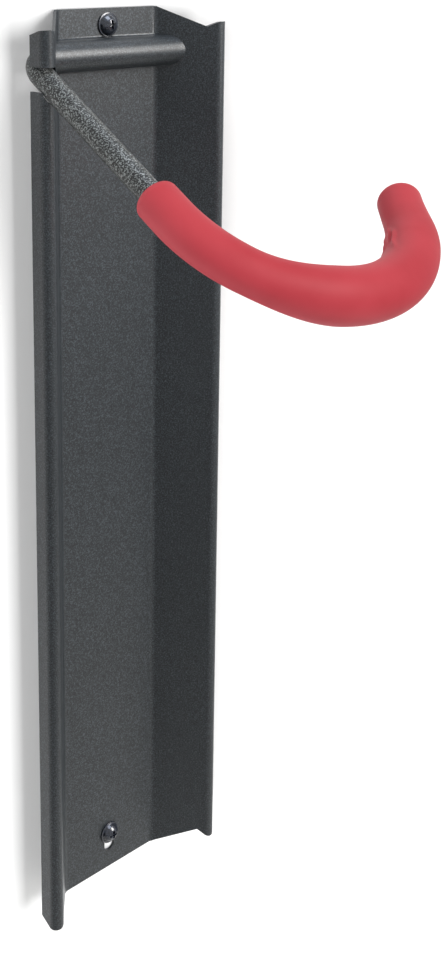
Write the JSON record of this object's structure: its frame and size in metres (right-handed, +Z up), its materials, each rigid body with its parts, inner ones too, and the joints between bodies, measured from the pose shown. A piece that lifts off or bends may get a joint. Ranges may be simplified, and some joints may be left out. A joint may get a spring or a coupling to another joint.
{
  "type": "bicycle wall hook",
  "caption": "Wall hanger for a bicycle: a pressed steel channel guides the tyre, and a bent rod with a soft red sleeve holds the front wheel's rim",
  "frame": {"origin": "centre of the channel's back face, in the wall plane", "axes": "+Z up along the channel, -Y out of the wall toward the user, +X to the right seen from the front"},
  "size_m": [0.1491, 0.218, 0.457],
  "materials": {
    "coat": "satin",
    "rod_coat": "satin",
    "sleeve": "matte",
    "screw": "glossy"
  },
  "bodies": {
    "plate": {"channel_plate": "coat", "upper_screw": "screw", "lower_screw": "screw"},
    "hook": {"hook_rod": "rod_coat", "grip_sleeve": "sleeve"}
  },
  "joints": [
    {"name": "hook_lift", "type": "hinge", "parent": "plate", "child": "hook", "pos_m": [0, -0.0058, 0.2075], "axis": [-1, 0, 0], "range_deg": [0, 2]}
  ]
}
